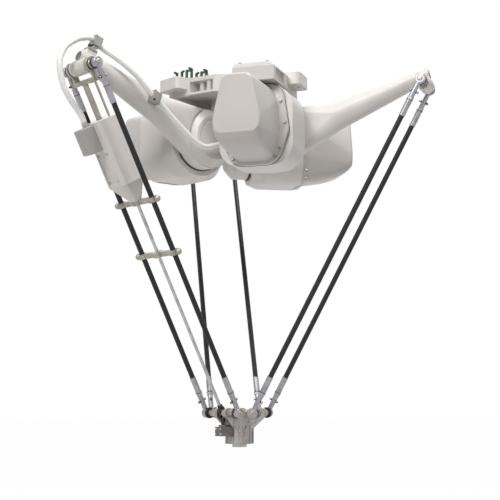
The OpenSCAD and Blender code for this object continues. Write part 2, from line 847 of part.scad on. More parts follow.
module tool_flange() {
    color("silver") at_wrist(2) translate([0, 0, -platform_h]) difference() {
        union() {
            translate([0, 0, -9]) cylinder(r = flange_r, h = 9 - free_gap);
            translate([0, 0, -1]) cylinder(r = flange_shaft_r, h = 1 + platform_h + gear_z - 16);
            translate([0, 0, platform_h + gear_z - 17]) cylinder(r = 8, h = 8);
        }
        translate([0, 0, -10]) cylinder(r = pilot_r, h = 7);
        for (i = [0:3]) rotate([0, 0, 45 + 90 * i]) translate([flange_pcd_r, 0, -10])
            cylinder(r = flange_hole_r, h = 11);
    }
}

deck();
terminal_box();
cable_fittings();
housing_screws();
shaft_seals();
drive_housing(0);  // drive_housing_left
drive_housing(1);  // drive_housing_right
drive_housing(2);  // drive_housing_rear
motor_cover(0);  // motor_cover_left
motor_cover(1);  // motor_cover_right
motor_cover(2);  // motor_cover_rear
servo_motor(0);  // servo_motor_left
servo_motor(1);  // servo_motor_right
servo_motor(2);  // servo_motor_rear
reducer(0);  // reducer_left
reducer(1);  // reducer_right
reducer(2);  // reducer_rear
upper_arm(0);  // upper_arm_left
upper_arm(1);  // upper_arm_right
upper_arm(2);  // upper_arm_rear
hub_cap(0);  // hub_cap_left
hub_cap(1);  // hub_cap_right
hub_cap(2);  // hub_cap_rear
output_flange(0);  // output_flange_left
output_flange(1);  // output_flange_right
output_flange(2);  // output_flange_rear
elbow_bar(0);  // elbow_bar_left
elbow_bar(1);  // elbow_bar_right
elbow_bar(2);  // elbow_bar_rear
rods(0);  // rods_left
rods(1);  // rods_right
rods(2);  // rods_rear
rod_ends(0);  // rod_ends_left
rod_ends(1);  // rod_ends_right
rod_ends(2);  // rod_ends_rear
hose_gland();
hose_shoulder();
hose_arm();
hose_clamps();
hose_elbow();
hose_fitting();
hanger();
wrist_housing();
wrist_motor();
connector_box();
rod_clamps();
drive_shaft();
shaft_coupling();
platform();
ball_bars();
joint_eyes();
gear_case();
flange_bearing();
input_shaft();
cross_shaft();
tool_flange();
flange_gear();
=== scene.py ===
# %% [markdown]
# A delta robot hangs from a ceiling frame. Three geared drives swing three upper arms, and pairs
# of carbon rods carry a small platform between them. The solids come from the CAD frame, and
# this lesson dresses them: it softens the castings' edges, adds the hose and the small trim,
# and gives every surface its finish. Everything is in metres, +Z up, and the origin lies at the
# centre of the mounting bolts.

# %% Load the frame
import json
import math

import bmesh
import bpy
from mathutils import Matrix, Vector


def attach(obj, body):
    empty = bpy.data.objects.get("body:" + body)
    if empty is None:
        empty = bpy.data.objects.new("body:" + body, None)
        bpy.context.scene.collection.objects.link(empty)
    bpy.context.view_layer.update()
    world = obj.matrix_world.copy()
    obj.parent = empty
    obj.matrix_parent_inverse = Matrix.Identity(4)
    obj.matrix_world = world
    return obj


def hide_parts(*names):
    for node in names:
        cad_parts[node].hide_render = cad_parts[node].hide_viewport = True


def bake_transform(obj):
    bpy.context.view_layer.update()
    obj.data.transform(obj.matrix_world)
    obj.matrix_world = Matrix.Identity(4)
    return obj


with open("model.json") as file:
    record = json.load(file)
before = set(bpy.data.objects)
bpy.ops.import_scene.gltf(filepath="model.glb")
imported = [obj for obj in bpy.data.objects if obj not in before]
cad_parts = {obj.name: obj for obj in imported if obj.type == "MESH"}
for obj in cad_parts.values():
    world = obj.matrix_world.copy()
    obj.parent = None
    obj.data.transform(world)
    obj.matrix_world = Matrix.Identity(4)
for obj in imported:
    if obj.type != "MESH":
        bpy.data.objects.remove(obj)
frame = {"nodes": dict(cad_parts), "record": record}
NODES = frame["nodes"]
JOINTS = {j["name"]: j for j in frame["record"]["behaviour"]["joints"]}
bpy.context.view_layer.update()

SIDES = ("left", "right", "rear")
AZIMUTH = {"left": math.radians(210), "right": math.radians(330), "rear": math.radians(90)}


# %% [markdown]
# The camera stands in front of the robot, a little above the platform, and looks up by a few
# degrees. A long lens keeps the rods nearly parallel, as in a catalogue picture. It is made
# first, so that every later step can be judged from the same place.

# %% Camera
LENS = 88.1
SENSOR_WIDTH = 36.0
CAMERA_PLACE = (-0.626, -3.3446, -0.860)
CAMERA_PITCH = math.radians(90 + 6.576)
CAMERA_TURN = math.radians(-11.09)
camera_data = bpy.data.cameras.new("camera")
camera_data.lens = LENS
camera_data.sensor_width = SENSOR_WIDTH
camera = bpy.data.objects.new("camera", camera_data)
camera.location = CAMERA_PLACE
camera.rotation_euler = (CAMERA_PITCH, 0, CAMERA_TURN)
bpy.context.scene.collection.objects.link(camera)
bpy.context.scene.camera = camera
bpy.context.scene.view_settings.view_transform = "Standard"

# %% [markdown]
# Each arm has a frame of its own: u points outward from the robot's axis, t runs round
# anticlockwise and z is up. A point of an arm is then written once and placed three times.
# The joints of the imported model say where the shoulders, elbows and the wrist are, so these
# frames follow them.

# %% Frames of the arms
def arm_frame(side):
    return Matrix.Rotation(AZIMUTH[side], 4, "Z")


def along(side, point):
    return arm_frame(side) @ Vector(point)


def joint_place(name):
    return Vector(JOINTS[name]["pos_m"])


def shoulder_frame(side):
    return Matrix.Translation(joint_place("shoulder_" + side)) @ arm_frame(side)


def upper_frame(side):
    """Local x runs from the shoulder to the elbow, y along the shoulder's axis."""
    shoulder = joint_place("shoulder_" + side)
    elbow = joint_place("elbow_" + side)
    x = (elbow - shoulder).normalized()
    y = arm_frame(side).to_3x3() @ Vector((0, 1, 0))
    z = x.cross(y)
    turn = Matrix((x, y, z)).transposed().to_4x4()
    return Matrix.Translation(shoulder) @ turn


def rod_frame(side):
    """Local z runs up along the rods to the elbow, y along the elbow's axis."""
    elbow = joint_place("elbow_" + side)
    radius = joint_place("platform_pivot").to_2d().length
    wrist = along(side, (radius, 0, joint_place("platform_pivot").z))
    z = (elbow - wrist).normalized()
    y = arm_frame(side).to_3x3() @ Vector((0, 1, 0))
    x = y.cross(z)
    turn = Matrix((x, y, z)).transposed().to_4x4()
    return Matrix.Translation(elbow) @ turn


ARM_LEN = (joint_place("elbow_left") - joint_place("shoulder_left")).length
print("arm", round(ARM_LEN, 4))

# %% [markdown]
# A CAD node arrives as loose triangles with hard edges. A casting or a moulded cover has no hard
# edge anywhere, so its mesh is copied, its points are merged, its flat faces are joined, and a
# bevel rounds the edges that are left. The copy then stands for the CAD node, which stays in the
# physics model. Shading by angle keeps the round forms smooth and the flat ones flat.

# %% Copies of CAD nodes with soft edges
MERGE_DISTANCE = 0.00002
FLAT_ANGLE = math.radians(0.6)
EDGE_ANGLE = math.radians(28)
EDGE_SEGMENTS = 3


def deselect():
    for obj in bpy.context.selected_objects:
        obj.select_set(False)


def take(obj):
    deselect()
    obj.select_set(True)
    bpy.context.view_layer.objects.active = obj


def dressed(node, body, edge):
    """A copy of a CAD node whose sharp edges are rounded by the given width."""
    source = NODES[node]
    piece = bpy.data.objects.new(node + "_skin", source.data.copy())
    bpy.context.scene.collection.objects.link(piece)
    take(piece)
    bpy.ops.object.mode_set(mode="EDIT")
    bpy.ops.mesh.select_all(action="SELECT")
    bpy.ops.mesh.remove_doubles(threshold=MERGE_DISTANCE)
    bpy.ops.mesh.dissolve_limited(angle_limit=FLAT_ANGLE)
    bpy.ops.object.mode_set(mode="OBJECT")
    bpy.ops.object.shade_smooth_by_angle(angle=EDGE_ANGLE)
    bevel = piece.modifiers.new("soft_edges", "BEVEL")
    bevel.width = edge
    bevel.segments = EDGE_SEGMENTS
    bevel.limit_method = "ANGLE"
    bevel.angle_limit = EDGE_ANGLE
    bevel.use_clamp_overlap = True
    bevel.harden_normals = True
    bpy.ops.object.modifier_apply(modifier=bevel.name)
    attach(piece, body)
    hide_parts(node)
    return piece


# %% [markdown]
# The set is a pale floor well below the platform and a white surround. The surround looks white
# to the camera and in reflections, but lights the robot with a weak warm light, so that pale
# paint keeps its shading.

# %% Floor, surround and lamps
FLOOR_Z = -1.62
FLOOR_SIZE = 60
FLOOR_COLOUR = (0.93, 0.925, 0.92, 1)
WHITE = (1, 1, 1, 1)
PAPER_STRENGTH = 1.07
PAPER_SHARE = 0.9
SURROUND_COLOUR = (1.0, 0.985, 0.965, 1)
SURROUND_STRENGTH = 0.22
bpy.ops.mesh.primitive_plane_add(size=FLOOR_SIZE, location=(0, 0, FLOOR_Z))
floor = bpy.context.object
floor.name = "floor"


def seen_or_mirrored(tree):
    """Is 1 for what the camera sees, straight or in a reflection, and 0 for other light."""
    path = tree.nodes.new("ShaderNodeLightPath")
    either = tree.nodes.new("ShaderNodeMath")
    either.operation = "MAXIMUM"
    tree.links.new(path.outputs["Is Camera Ray"], either.inputs[0])
    tree.links.new(path.outputs["Is Glossy Ray"], either.inputs[1])
    return either.outputs[0]


floor_material = bpy.data.materials.new("pale_floor")
floor_material.use_nodes = True
floor_tree = floor_material.node_tree
floor_shader = floor_tree.nodes["Principled BSDF"]
floor_shader.inputs["Base Color"].default_value = FLOOR_COLOUR
floor_shader.inputs["Roughness"].default_value = 0.9
paper = floor_tree.nodes.new("ShaderNodeEmission")
paper.inputs["Color"].default_value = WHITE
paper.inputs["Strength"].default_value = PAPER_STRENGTH
share = floor_tree.nodes.new("ShaderNodeMath")
share.operation = "MULTIPLY"
share.inputs[1].default_value = PAPER_SHARE
floor_tree.links.new(seen_or_mirrored(floor_tree), share.inputs[0])
floor_mix = floor_tree.nodes.new("ShaderNodeMixShader")
floor_tree.links.new(share.outputs[0], floor_mix.inputs[0])
floor_tree.links.new(floor_shader.outputs[0], floor_mix.inputs[1])
floor_tree.links.new(paper.outputs[0], floor_mix.inputs[2])
floor_tree.links.new(floor_mix.outputs[0], floor_tree.nodes["Material Output"].inputs["Surface"])
floor.data.materials.append(floor_material)

world = bpy.data.worlds.new("surround")
bpy.context.scene.world = world
world.use_nodes = True
tree = world.node_tree
background = tree.nodes["Background"]
background.inputs["Color"].default_value = SURROUND_COLOUR
background.inputs["Strength"].default_value = SURROUND_STRENGTH
white = tree.nodes.new("ShaderNodeBackground")
white.inputs["Color"].default_value = WHITE
white.inputs["Strength"].default_value = 1.0
mix = tree.nodes.new("ShaderNodeMixShader")
tree.links.new(seen_or_mirrored(tree), mix.inputs[0])
tree.links.new(background.outputs[0], mix.inputs[1])
tree.links.new(white.outputs[0], mix.inputs[2])
tree.links.new(mix.outputs[0], tree.nodes["World Output"].inputs["Surface"])


def lamp(name, place, aim, size, power):
    data = bpy.data.lights.new(name, "AREA")
    data.shape = "DISK"
    data.size = size
    data.energy = power
    obj = bpy.data.objects.new(name, data)
    obj.location = place
    obj.rotation_euler = (Vector(aim) - Vector(place)).to_track_quat("-Z", "Y").to_euler()
    bpy.context.scene.collection.objects.link(obj)


lamp("key_lamp", (-2.2, -2.6, 2.0), (0, 0, -0.2), 1.2, 88)
lamp("top_lamp", (0.5, -1.0, 2.5), (0, 0, -0.1), 1.6, 80)
lamp("back_lamp", (0.4, 2.8, 1.2), (0, 0, -0.2), 1.6, 14)

# %% [markdown]
# The same small faults show on every real finish, so they are built once as shader groups. The
# first makes the fine orange peel and the faint cloudiness of sprayed paint on a casting. The
# second makes the drawn lines of turned or brushed metal.

# %% Shader groups
def new_group(name, inputs, outputs):
    group = bpy.data.node_groups.new(name, "ShaderNodeTree")
    for kind, label, value in inputs:
        socket = group.interface.new_socket(label, in_out="INPUT", socket_type=kind)
        socket.default_value = value
    for kind, label in outputs:
        group.interface.new_socket(label, in_out="OUTPUT", socket_type=kind)
    return group, group.nodes.new("NodeGroupInput"), group.nodes.new("NodeGroupOutput")


def node(tree, kind, **values):
    made = tree.nodes.new(kind)
    for key, value in values.items():
        setattr(made, key, value)
    return made


def mix_colours(tree, factor, a, b, blend="MIX"):
    made = node(tree, "ShaderNodeMix", data_type="RGBA", blend_type=blend)
    for socket, value in ((made.inputs[0], factor), (made.inputs[6], a), (made.inputs[7], b)):
        if isinstance(value, bpy.types.NodeSocket):
            tree.links.new(value, socket)
        else:
            socket.default_value = value
    return made.outputs[2]


FLOAT, COLOUR, VECTOR = "NodeSocketFloat", "NodeSocketColor", "NodeSocketVector"


def paint_group():
    group, given, out = new_group(
        "sprayed_casting",
        [(COLOUR, "Color", (0.8, 0.8, 0.8, 1)), (FLOAT, "Roughness", 0.4), (FLOAT, "Grain", 1.0)],
        [(COLOUR, "Color"), (FLOAT, "Roughness"), (VECTOR, "Normal")],
    )
    links = group.links
    place = node(group, "ShaderNodeTexCoord").outputs["Object"]
    cloud = node(group, "ShaderNodeTexNoise")
    cloud.inputs["Scale"].default_value = 9.0
    cloud.inputs["Detail"].default_value = 3.0
    peel = node(group, "ShaderNodeTexNoise")
    peel.inputs["Scale"].default_value = 420.0
    peel.inputs["Detail"].default_value = 2.0
    cast = node(group, "ShaderNodeTexNoise")
    cast.inputs["Scale"].default_value = 60.0
    for texture in (cloud, peel, cast):
        links.new(place, texture.inputs["Vector"])
    tint = node(group, "ShaderNodeMapRange")
    tint.inputs["From Min"].default_value = 0.3
    tint.inputs["From Max"].default_value = 0.7
    tint.inputs["To Min"].default_value = 0.0
    tint.inputs["To Max"].default_value = 0.5
    links.new(cloud.outputs["Fac"], tint.inputs["Value"])
    shade = mix_colours(group, 1.0, given.outputs["Color"], (0.90, 0.885, 0.87, 1), "MULTIPLY")
    cloudy = mix_colours(group, tint.outputs["Result"], given.outputs["Color"], shade)
    links.new(cloudy, out.inputs["Color"])
    rough = node(group, "ShaderNodeMath", operation="MULTIPLY_ADD")
    rough.inputs[1].default_value = 0.14
    links.new(cast.outputs["Fac"], rough.inputs[0])
    links.new(given.outputs["Roughness"], rough.inputs[2])
    links.new(rough.outputs[0], out.inputs["Roughness"])
    both = node(group, "ShaderNodeMath", operation="MULTIPLY_ADD")
    both.inputs[1].default_value = 0.35
    links.new(peel.outputs["Fac"], both.inputs[0])
    links.new(cast.outputs["Fac"], both.inputs[2])
    height = node(group, "ShaderNodeMath", operation="MULTIPLY")
    links.new(both.outputs[0], height.inputs[0])
    links.new(given.outputs["Grain"], height.inputs[1])
    bump = node(group, "ShaderNodeBump")
    bump.inputs["Strength"].default_value = 0.35
    bump.inputs["Distance"].default_value = 0.0004
    links.new(height.outputs[0], bump.inputs["Height"])
    links.new(bump.outputs["Normal"], out.inputs["Normal"])
    return group


def metal_group():
    group, given, out = new_group(
        "machined_metal",
        [(COLOUR, "Color", (0.6, 0.6, 0.6, 1)), (FLOAT, "Roughness", 0.3), (FLOAT, "Lines", 1.0)],
        [(COLOUR, "Color"), (FLOAT, "Roughness"), (VECTOR, "Normal")],
    )
    links = group.links
    place = node(group, "ShaderNodeTexCoord").outputs["Object"]
    stretch = node(group, "ShaderNodeMapping")
    stretch.inputs["Scale"].default_value = (90.0, 90.0, 900.0)
    links.new(place, stretch.inputs["Vector"])
    lines = node(group, "ShaderNodeTexNoise")
    lines.inputs["Scale"].default_value = 1.0
    lines.inputs["Detail"].default_value = 3.0
    links.new(stretch.outputs["Vector"], lines.inputs["Vector"])
    stain = node(group, "ShaderNodeTexNoise")
    stain.inputs["Scale"].default_value = 45.0
    stain.inputs["Detail"].default_value = 4.0
    links.new(place, stain.inputs["Vector"])
    darker = mix_colours(group, 1.0, given.outputs["Color"], (0.72, 0.70, 0.68, 1), "MULTIPLY")
    part = node(group, "ShaderNodeMapRange")
    part.inputs["From Min"].default_value = 0.42
    part.inputs["From Max"].default_value = 0.68
    links.new(stain.outputs["Fac"], part.inputs["Value"])
    stained = mix_colours(group, part.outputs["Result"], given.outputs["Color"], darker)
    links.new(stained, out.inputs["Color"])
    rough = node(group, "ShaderNodeMath", operation="MULTIPLY_ADD")
    rough.inputs[1].default_value = 0.22
    links.new(stain.outputs["Fac"], rough.inputs[0])
    links.new(given.outputs["Roughness"], rough.inputs[2])
    links.new(rough.outputs[0], out.inputs["Roughness"])
    height = node(group, "ShaderNodeMath", operation="MULTIPLY")
    links.new(lines.outputs["Fac"], height.inputs[0])
    links.new(given.outputs["Lines"], height.inputs[1])
    bump = node(group, "ShaderNodeBump")
    bump.inputs["Strength"].default_value = 0.25
    bump.inputs["Distance"].default_value = 0.0002
    links.new(height.outputs[0], bump.inputs["Height"])
    links.new(bump.outputs["Normal"], out.inputs["Normal"])
    return group


GROUPS = {"paint": paint_group(), "metal": metal_group()}


COAT_ROUGHNESS = 0.15


def finish(name, group, colour, roughness, metallic=0.0, amount=1.0, coat=0.0, specular=0.5):
    """A material whose colour, roughness and normal come from one of the shader groups."""
    material = bpy.data.materials.new(name)
    material.use_nodes = True
    tree = material.node_tree
    shader = tree.nodes["Principled BSDF"]
    shader.inputs["Metallic"].default_value = metallic
    shader.inputs["Coat Weight"].default_value = coat
    shader.inputs["Coat Roughness"].default_value = COAT_ROUGHNESS
    shader.inputs["Specular IOR Level"].default_value = specular
    effect = node(tree, "ShaderNodeGroup")
    effect.node_tree = GROUPS[group]
    effect.inputs[0].default_value = (*colour, 1)
    effect.inputs[1].default_value = roughness
    effect.inputs[2].default_value = amount
    tree.links.new(effect.outputs[0], shader.inputs["Base Color"])
    tree.links.new(effect.outputs[1], shader.inputs["Roughness"])
    tree.links.new(effect.outputs[2], shader.inputs["Normal"])
    return material


def coat_with(obj, material):
    obj.data.materials.clear()
    obj.data.materials.append(material)


# %% [markdown]
# The robot wears a few kinds of finish: a warm off-white paint on castings and covers, bare alloy
# on the rod ends, stainless steel on the bars, black tubes of carbon fibre, a white hose, and
# some dark rubber and plastic. Each gets one material, and the nodes that share a finish share
# it.

# %% Finishes
CASTING = finish("warm_white_casting", "paint", (0.66, 0.63, 0.605), 0.34)
COVER = finish("warm_white_cover", "paint", (0.55, 0.522, 0.502), 0.28, amount=0.5)
ALLOY = finish("rod_end_alloy", "metal", (0.37, 0.365, 0.395), 0.28, metallic=0.9, amount=0.4)
STAINLESS = finish("bar_stainless", "metal", (0.40, 0.38, 0.33), 0.30, metallic=0.9)
STEEL = finish("ground_steel", "metal", (0.50, 0.49, 0.48), 0.28, metallic=1.0)
SCREW = finish("zinc_screw", "metal", (0.34, 0.335, 0.33), 0.34, metallic=1.0, amount=0.5)
CASE = finish("gear_case_paint", "metal", (0.19, 0.18, 0.17), 0.34, metallic=0.7, amount=0.6)
# The platform's colour is partly its own bare alloy tone and partly painted shade: it is darker
# than the casting paint to stand in for the shade the platform hangs in.
PLATFORM_ALLOY_WITH_PAINTED_SHADE = finish("platform_alloy_painted_shade", "metal", (0.44, 0.415, 0.40), 0.42, metallic=0.6, amount=0.7)
CLAMP = finish("clamp_alloy", "metal", (0.36, 0.35, 0.335), 0.30, metallic=0.7, amount=0.5)
DARK_STEEL = finish("black_oxide_steel", "metal", (0.05, 0.05, 0.052), 0.35, metallic=0.6)
CARBON = finish("carbon_tube", "metal", (0.010, 0.0095, 0.010), 0.38, amount=1.5,
                coat=0.05, specular=0.35)
HOSE = finish("white_hose", "paint", (0.82, 0.82, 0.80), 0.32, amount=0.2)
RUBBER = finish("black_rubber", "paint", (0.014, 0.014, 0.015), 0.45, amount=0.6)
GREY = finish("grey_box_paint", "paint", (0.38, 0.375, 0.365), 0.36, amount=0.6)
GREEN = finish("green_fitting", "paint", (0.018, 0.055, 0.045), 0.28, amount=0.3)
MOTOR = finish("motor_black", "paint", (0.03, 0.03, 0.033), 0.35)

PAINT_OF = {
    "deck": CASTING, "terminal_box": COVER, "cable_fittings": GREEN, "housing_screws": SCREW,
    "shaft_seals": RUBBER, "platform": PLATFORM_ALLOY_WITH_PAINTED_SHADE, "wrist_housing": CASTING, "wrist_motor": MOTOR,
    "connector_box": GREY, "hanger": STAINLESS, "rod_clamps": STAINLESS, "hose_clamps": CLAMP,
    "hose_gland": STEEL, "hose_fitting": STEEL, "drive_shaft": STEEL, "shaft_coupling": DARK_STEEL,
    "ball_bars": STAINLESS, "joint_eyes": ALLOY, "gear_case": CASE, "flange_bearing": STEEL,
    "input_shaft": DARK_STEEL, "cross_shaft": STEEL, "tool_flange": STEEL, "flange_gear": STEEL,
    "hose_shoulder": HOSE, "hose_arm": HOSE, "hose_elbow": HOSE,
}
for side in SIDES:
    PAINT_OF["drive_housing_" + side] = CASTING
    PAINT_OF["motor_cover_" + side] = COVER
    PAINT_OF["servo_motor_" + side] = MOTOR
    PAINT_OF["reducer_" + side] = STEEL
    PAINT_OF["output_flange_" + side] = STEEL
    PAINT_OF["upper_arm_" + side] = CASTING
    PAINT_OF["hub_cap_" + side] = CASTING
    PAINT_OF["elbow_bar_" + side] = STAINLESS
    PAINT_OF["rods_" + side] = CARBON
    PAINT_OF["rod_ends_" + side] = ALLOY
for name, material in PAINT_OF.items():
    coat_with(NODES[name], material)
print("painted", len(PAINT_OF), "of", len(NODES), "nodes")

# %% [markdown]
# The large castings are cast and then sprayed, so their edges are round by two or three
# millimetres, and the motor covers are rounder still. The small and machined pieces have edges of
# about a millimetre.

# %% Soft edges on castings and covers
BODY_OF = {n: b for b, ns in frame["record"]["behaviour"]["bodies"].items() for n in ns}
SOFT = {
    "deck": 0.003, "terminal_box": 0.002, "platform": 0.0012, "wrist_housing": 0.002,
    "connector_box": 0.0012, "hanger": 0.0008, "rod_clamps": 0.001, "hose_clamps": 0.0008,
    "gear_case": 0.0008, "housing_screws": 0.0006,
}
for side in SIDES:
    SOFT["drive_housing_" + side] = 0.003
    SOFT["motor_cover_" + side] = 0.008
    SOFT["upper_arm_" + side] = 0.0025
    SOFT["hub_cap_" + side] = 0.0015
for name, edge in SOFT.items():
    skin = dressed(name, BODY_OF[name], edge)
    coat_with(skin, PAINT_OF[name])
print("softened", len(SOFT), "pieces")

# %% [markdown]
# The hose is one smooth tube that leaves the front drive's gland, runs along the left arm through
# two clips and turns over the elbow to the wrist drive. Its route is a short list of points in
# the left arm's frame, rounded by a Catmull-Rom curve. It crosses two joints, so it is cut in
# the bores of its two clips, where no cut shows. The middle piece is held on the arm, and each
# outer piece spans one joint and is left fixed where it is drawn.

# %% Hose
HOSE_RADIUS = 0.0076
ROUTE = [
    (0.095, 0.047, -0.185), (0.104, 0.038, -0.187), (0.128, 0.036, -0.194),
    (0.156, 0.036, -0.200), (0.184, 0.036, -0.192), (0.208, 0.037, -0.180),
    (0.260, 0.038, -0.144), (0.316, 0.038, -0.100), (0.338, 0.038, -0.084),
    (0.388, 0.036, -0.040), (0.4398, 0.024, -0.0034), (0.4778, 0.010, 0.0206),
    (0.5068, 0.007, 0.0406), (0.5298, 0.000, 0.0396), (0.5528, 0.000, 0.0296),
    (0.5798, 0.000, 0.0086), (0.5938, 0.000, -0.0174), (0.5978, 0.000, -0.0444),
    (0.5928, 0.000, -0.0744), (0.5798, 0.000, -0.1054), (0.5558, 0.000, -0.1364),
    (0.5329, 0.000, -0.1606), (0.5225, 0.000, -0.1800),
]
CLIP_1, CLIP_2 = 7, 12
ROUTE_STEPS = 8


def smooth_route(points):
    """Points of the Catmull-Rom curve through the given points."""
    route = []
    for i in range(len(points) - 1):
        before, here = Vector(points[max(i - 1, 0)]), Vector(points[i])
        there, after = Vector(points[i + 1]), Vector(points[min(i + 2, len(points) - 1)])
        for step in range(ROUTE_STEPS):
            s = step / ROUTE_STEPS
            route.append(0.5 * (2 * here + (there - before) * s
                                + (2 * before - 5 * here + 4 * there - after) * s * s
                                + (3 * here - before - 3 * there + after) * s ** 3))
    return route + [Vector(points[-1])]


def tube(name, points, radius, sides=6, closed=False):
    curve = bpy.data.curves.new(name, "CURVE")
    curve.dimensions = "3D"
    curve.bevel_depth = radius
    curve.bevel_resolution = sides
    curve.use_fill_caps = not closed
    spline = curve.splines.new("POLY")
    spline.points.add(len(points) - 1)
    for place, point in zip(spline.points, points):
        place.co = (*point, 1)
    spline.use_cyclic_u = closed
    obj = bpy.data.objects.new(name, curve)
    bpy.context.scene.collection.objects.link(obj)
    take(obj)
    bpy.ops.object.convert(target="MESH")
    made = bpy.context.object
    bpy.ops.object.shade_smooth_by_angle(angle=math.radians(50))
    return made


def hose_part(name, first, last):
    smooth = smooth_route([along("left", p) for p in ROUTE])
    piece = tube(name, smooth[first * ROUTE_STEPS:last * ROUTE_STEPS + 1], HOSE_RADIUS)
    coat_with(piece, HOSE)
    return piece


lower_hose = hose_part("hose_to_arm", 0, CLIP_1)
middle_hose = hose_part("hose_on_arm", CLIP_1, CLIP_2)
upper_hose = hose_part("hose_over_elbow", CLIP_2, len(ROUTE) - 1)
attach(middle_hose, "upper_arm_left")
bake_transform(lower_hose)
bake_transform(upper_hose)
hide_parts("hose_shoulder")
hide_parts("hose_arm")
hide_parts("hose_elbow")
print("hose", len(ROUTE), "points")

# %% [markdown]
# Rubber discs stop each ball joint from running off its bar. A disc is a turned ring with round
# edges, so it is drawn as a short cylinder, its rim is bevelled and its face is inset to leave a
# shallow dish. One disc is modelled and copied to both ends of the three elbow bars and the three
# platform bars.

# %% Stop discs
ROD_HALF = 0.068
DISC_RADIUS = 0.0149
DISC_DEPTH = 0.0076
DISC_GAP = 0.0072
ALIGNED = 0.99


def facing(obj, direction):
    """Selects the faces whose normal points along the direction, in edit mode."""
    take(obj)
    bpy.ops.object.mode_set(mode="EDIT")
    bpy.ops.mesh.select_mode(type="FACE")
    bpy.ops.mesh.select_all(action="DESELECT")
    mesh = bmesh.from_edit_mesh(obj.data)
    aim = Vector(direction)
    for face in mesh.faces:
        face.select_set(face.normal.dot(aim) > ALIGNED)
    bmesh.update_edit_mesh(obj.data)


def stop_disc():
    deselect()
    bpy.ops.mesh.primitive_cylinder_add(vertices=48, radius=DISC_RADIUS, depth=DISC_DEPTH)
    disc = bpy.context.object
    facing(disc, (0, 0, -1))
    bpy.ops.mesh.inset(thickness=0.0026, depth=0)
    bpy.ops.mesh.inset(thickness=0.0008, depth=-0.0009)
    bpy.ops.object.mode_set(mode="OBJECT")
    bevel = disc.modifiers.new("rim", "BEVEL")
    bevel.width = 0.0014
    bevel.segments = 3
    bevel.angle_limit = math.radians(50)
    bpy.ops.object.modifier_apply(modifier=bevel.name)
    bpy.ops.object.shade_smooth_by_angle(angle=math.radians(35))
    return disc


def copies(model, name, places):
    """One piece made of a copy of the model at each place."""
    made = []
    for place in places:
        copy = bpy.data.objects.new(name, model.data.copy())
        copy.data.transform(place)
        bpy.context.scene.collection.objects.link(copy)
        made.append(copy)
    take(made[0])
    for copy in made:
        copy.select_set(True)
    if len(made) > 1:
        bpy.ops.object.join()
    piece = bpy.context.object
    piece.name = name
    return piece


def turned_to_t():
    """Turns a model's z axis to an arm's t axis."""
    return Matrix.Rotation(math.radians(-90), 4, "X")


def bar_ends(side, level):
    """Frames at the two ball centres of an elbow bar or of a platform bar, with z along the bar."""
    rods = rod_frame(side)
    return [rods @ Matrix.Translation((0, end * ROD_HALF, level)) @ turned_to_t() @
            Matrix.Rotation(0 if end > 0 else math.pi, 4, "X") for end in (1, -1)]


ROD_LEN = (joint_place("elbow_left") - joint_place("platform_pivot")).length
disc = stop_disc()
DISC_BACK = Matrix.Translation((0, 0, -(DISC_GAP + DISC_DEPTH / 2)))
for side in SIDES:
    discs = copies(disc, "stop_discs_" + side, [place @ DISC_BACK for place in bar_ends(side, 0)])
    coat_with(discs, RUBBER)
    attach(discs, "upper_arm_" + side)
places = [place @ DISC_BACK for side in SIDES for place in bar_ends(side, -ROD_LEN)]
discs = copies(disc, "stop_discs_platform", places)
coat_with(discs, RUBBER)
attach(discs, "platform")
bpy.data.objects.remove(disc)
print("stop discs", ROD_LEN)

# %% [markdown]
# Each rod end has a spring lug: a cross pin with a small dark screw at both sides. The screw is
# a short hexagon on a round washer. Its top is raised by one inset and sunk by another.

# %% Lug screws
LUG_AT = 0.038
LUG_REACH = 0.0066


def hex_screw(radius, height):
    """A small hexagon screw with its washer, standing on z = 0."""
    deselect()
    washer = height * 0.3
    bpy.ops.mesh.primitive_cylinder_add(vertices=24, radius=radius, depth=washer,
                                        location=(0, 0, washer / 2))
    screw = bpy.context.object
    bpy.ops.object.transform_apply(location=True)
    deselect()
    bpy.ops.mesh.primitive_cylinder_add(vertices=6, radius=radius * 0.86, depth=height - washer,
                                        location=(0, 0, (height + washer) / 2))
    head = bpy.context.object
    bpy.ops.object.transform_apply(location=True)
    facing(head, (0, 0, 1))
    bpy.ops.mesh.inset(thickness=radius * 0.12, depth=radius * 0.10)
    bpy.ops.mesh.inset(thickness=radius * 0.28, depth=0)
    bpy.ops.mesh.inset(thickness=radius * 0.04, depth=-height * 0.3)
    bpy.ops.object.mode_set(mode="OBJECT")
    take(screw)
    head.select_set(True)
    bpy.ops.object.join()
    bpy.ops.object.shade_smooth_by_angle(angle=math.radians(35))
    return screw


screw = hex_screw(0.0036, 0.0062)
for side in SIDES:
    rods = rod_frame(side)
    upper, lower = [], []
    for end in (1, -1):
        for out in (1, -1):
            head = Matrix.Translation((out * LUG_REACH, 0, 0)) @ Matrix.Rotation(
                math.radians(90 * out), 4, "Y")
            ball = Matrix.Translation((0, end * ROD_HALF, -LUG_AT))
            upper.append(rods @ ball @ head)
            foot = Matrix.Translation((0, end * ROD_HALF, LUG_AT - ROD_LEN))
            lower.append(rods @ foot @ head)
    screws = copies(screw, "lug_screws_" + side, upper + lower)
    coat_with(screws, DARK_STEEL)
    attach(screws, "forearm_" + side)
bpy.data.objects.remove(screw)

# %% [markdown]
# The same hexagon screw, in other sizes, holds the hose clips, the wrist drive's panel and the
# gear case. A larger one is the knob of the upper clip.

# %% Screws on the clips, the panel and the gear case
def turn_to(axis):
    """Turns a model's z axis to x, y or z."""
    turns = {"x": (90, "Y"), "y": (-90, "X"), "z": (0, "Z")}
    angle, about = turns[axis]
    return Matrix.Rotation(math.radians(angle), 4, about)


def screw_set(name, radius, height, body, material, places):
    model = hex_screw(radius, height)
    made = copies(model, name, [holder @ Matrix.Translation(spot) @ turn_to(axis)
                                for holder, spot, axis in places])
    coat_with(made, material)
    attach(made, body)
    bpy.data.objects.remove(model)


